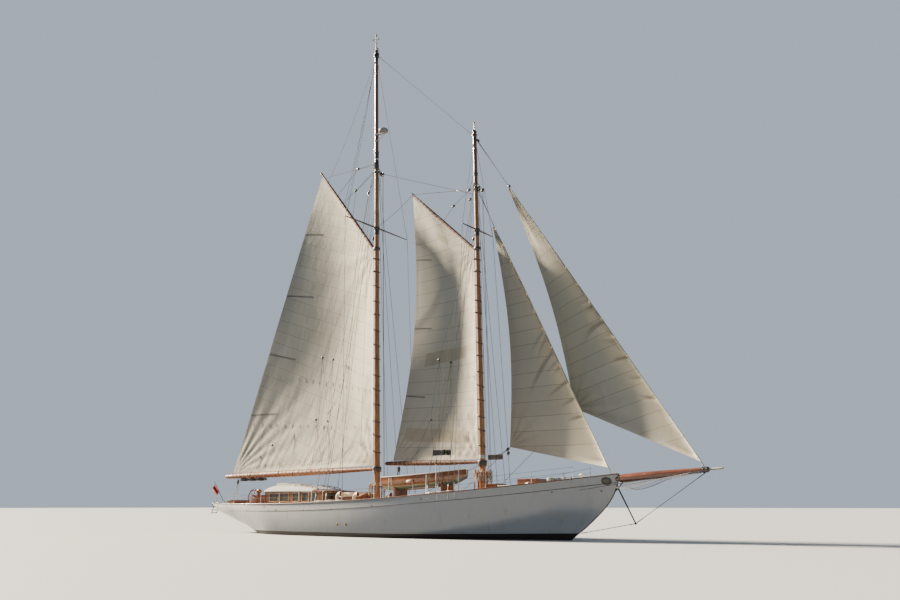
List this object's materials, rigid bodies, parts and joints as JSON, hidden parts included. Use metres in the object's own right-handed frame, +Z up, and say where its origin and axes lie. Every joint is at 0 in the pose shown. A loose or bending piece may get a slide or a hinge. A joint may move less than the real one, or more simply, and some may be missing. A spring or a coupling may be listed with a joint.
{
  "type": "gaff schooner",
  "caption": "Gaff-rigged wooden sailing yacht with a long keel, overhanging counter stern, bowsprit, low deckhouse and working sails set, floating at its waterline.",
  "frame": {"origin": "on the centreline at the surface of the water, halfway along the waterline", "axes": "+X to the bow, +Y to port, +Z up"},
  "size_m": [29.1207, 5.5068, 29.8552],
  "materials": {
    "white_topsides": "white gloss paint over planking",
    "antifouling_iron": "matt dark red antifouling",
    "antifouling_wood": "matt dark red antifouling",
    "bronze": "cast bronze, dulled by the sea",
    "laid_deck": "scrubbed planks, caulked seams",
    "varnished_joinery": "gloss varnish over mahogany",
    "varnished_spar": "satin varnish over pine",
    "white_paint": "white gloss paint",
    "cream_canvas": "cream sailcloth in narrow panels",
    "wire": "stainless wire and turnbuckles",
    "black_iron": "black gloss paint",
    "galvanised": "galvanised casting",
    "dome_plastic": "grey-white moulded cover",
    "red_bunting": "plain red cloth",
    "navy_canvas": "dark canvas, furled"
  },
  "bodies": {
    "vessel": {"hull": "white_topsides", "bulwark": "white_topsides", "ballast_keel": "antifouling_iron", "deck_aft": "laid_deck", "deck_waist": "laid_deck", "deck_fore": "laid_deck", "cap_rail": "varnished_joinery", "deckhouse": "varnished_joinery", "skylight": "varnished_joinery", "mast_hatch": "varnished_joinery", "fore_hatch": "varnished_joinery", "steering_box": "varnished_joinery", "helm_seat": "varnished_joinery", "tender": "varnished_joinery", "ensign_staff": "varnished_joinery", "bowsprit": "varnished_joinery", "main_spreaders": "varnished_joinery", "fore_spreaders": "varnished_joinery", "main_mast": "varnished_spar", "fore_mast": "varnished_spar", "deckhouse_roof": "white_paint", "deck_locker": "white_paint", "tender_chocks": "white_paint", "staysail": "cream_canvas", "jib": "cream_canvas", "main_shrouds_port": "wire", "main_shrouds_starboard": "wire", "fore_shrouds_port": "wire", "fore_shrouds_starboard": "wire", "jib_stay": "wire", "fore_stay": "wire", "head_stay": "wire", "spring_stay": "wire", "bobstay": "wire", "lifelines_port": "wire", "lifelines_starboard": "wire", "bowsprit_band": "black_iron", "light_board_port": "black_iron", "light_board_starboard": "black_iron", "stern_ladder": "black_iron", "windlass": "galvanised", "radar_dome": "dome_plastic", "ensign": "red_bunting"},
    "main_rig": {"main_boom": "varnished_spar", "main_gaff": "varnished_spar", "mainsail": "cream_canvas", "awning_roll": "navy_canvas"},
    "fore_rig": {"fore_boom": "varnished_spar", "fore_gaff": "varnished_spar", "foresail": "cream_canvas"},
    "rudder": {"rudder": "antifouling_wood"},
    "propeller": {"propeller": "bronze"},
    "wheel": {"steering_wheel": "varnished_joinery"},
    "slide": {"companion_slide": "varnished_joinery"},
    "door": {"companion_door": "varnished_joinery"},
    "leaf_port": {"skylight_leaf_port": "varnished_joinery"},
    "leaf_starboard": {"skylight_leaf_starboard": "varnished_joinery"},
    "mast_lid": {"mast_hatch_lid": "varnished_joinery"},
    "fore_lid": {"fore_hatch_lid": "varnished_joinery"}
  },
  "joints": [
    {"name": "main_boom_swing", "type": "hinge", "parent": "vessel", "child": "main_rig", "pos_m": [-1.189, 0, 0], "axis": [-0.0279, 0, 0.9996], "range_deg": [-32, 38]},
    {"name": "fore_boom_swing", "type": "hinge", "parent": "vessel", "child": "fore_rig", "pos_m": [4.95, 0, 0], "axis": [-0.0184, 0, 0.9998], "range_deg": [-32, 38]},
    {"name": "rudder_turn", "type": "hinge", "parent": "vessel", "child": "rudder", "pos_m": [-6.76431, 0, -2.98859], "axis": [-0.5145, 0, 0.8575], "range_deg": [-35, 35]},
    {"name": "wheel_turn", "type": "hinge", "parent": "vessel", "child": "wheel", "pos_m": [-9.96, 0, 1.83], "axis": [1, 0, 0], "range_deg": [-360, 360]},
    {"name": "propeller_spin", "type": "hinge", "parent": "vessel", "child": "propeller", "pos_m": [-7.145, 0, -1.4], "axis": [1, 0, 0], "continuous": true},
    {"name": "slide_hatch", "type": "slide", "parent": "vessel", "child": "slide", "axis": [1, 0, 0], "range_m": [0, 0.65]},
    {"name": "door_swing", "type": "hinge", "parent": "vessel", "child": "door", "pos_m": [-7.8203, -0.38, 1.75], "axis": [0, 0, 1], "range_deg": [0, 100]},
    {"name": "leaf_port_lift", "type": "hinge", "parent": "vessel", "child": "leaf_port", "pos_m": [-2.67, 0.03005, 1.99928], "axis": [1, 0, 0], "range_deg": [0, 60]},
    {"name": "leaf_starboard_lift", "type": "hinge", "parent": "vessel", "child": "leaf_starboard", "pos_m": [-2.67, -0.03005, 1.99928], "axis": [-1, 0, 0], "range_deg": [0, 60]},
    {"name": "mast_lid_lift", "type": "hinge", "parent": "vessel", "child": "mast_lid", "pos_m": [5.885, 0, 2.2703], "axis": [0, 1, 0], "range_deg": [0, 100]},
    {"name": "fore_lid_lift", "type": "hinge", "parent": "vessel", "child": "fore_lid", "pos_m": [6.935, 0, 2.4403], "axis": [0, -1, 0], "range_deg": [0, 95]}
  ],
  "couplings": [
    {"joint": "wheel_turn", "follows": "rudder_turn", "ratio": -10.286}
  ]
}
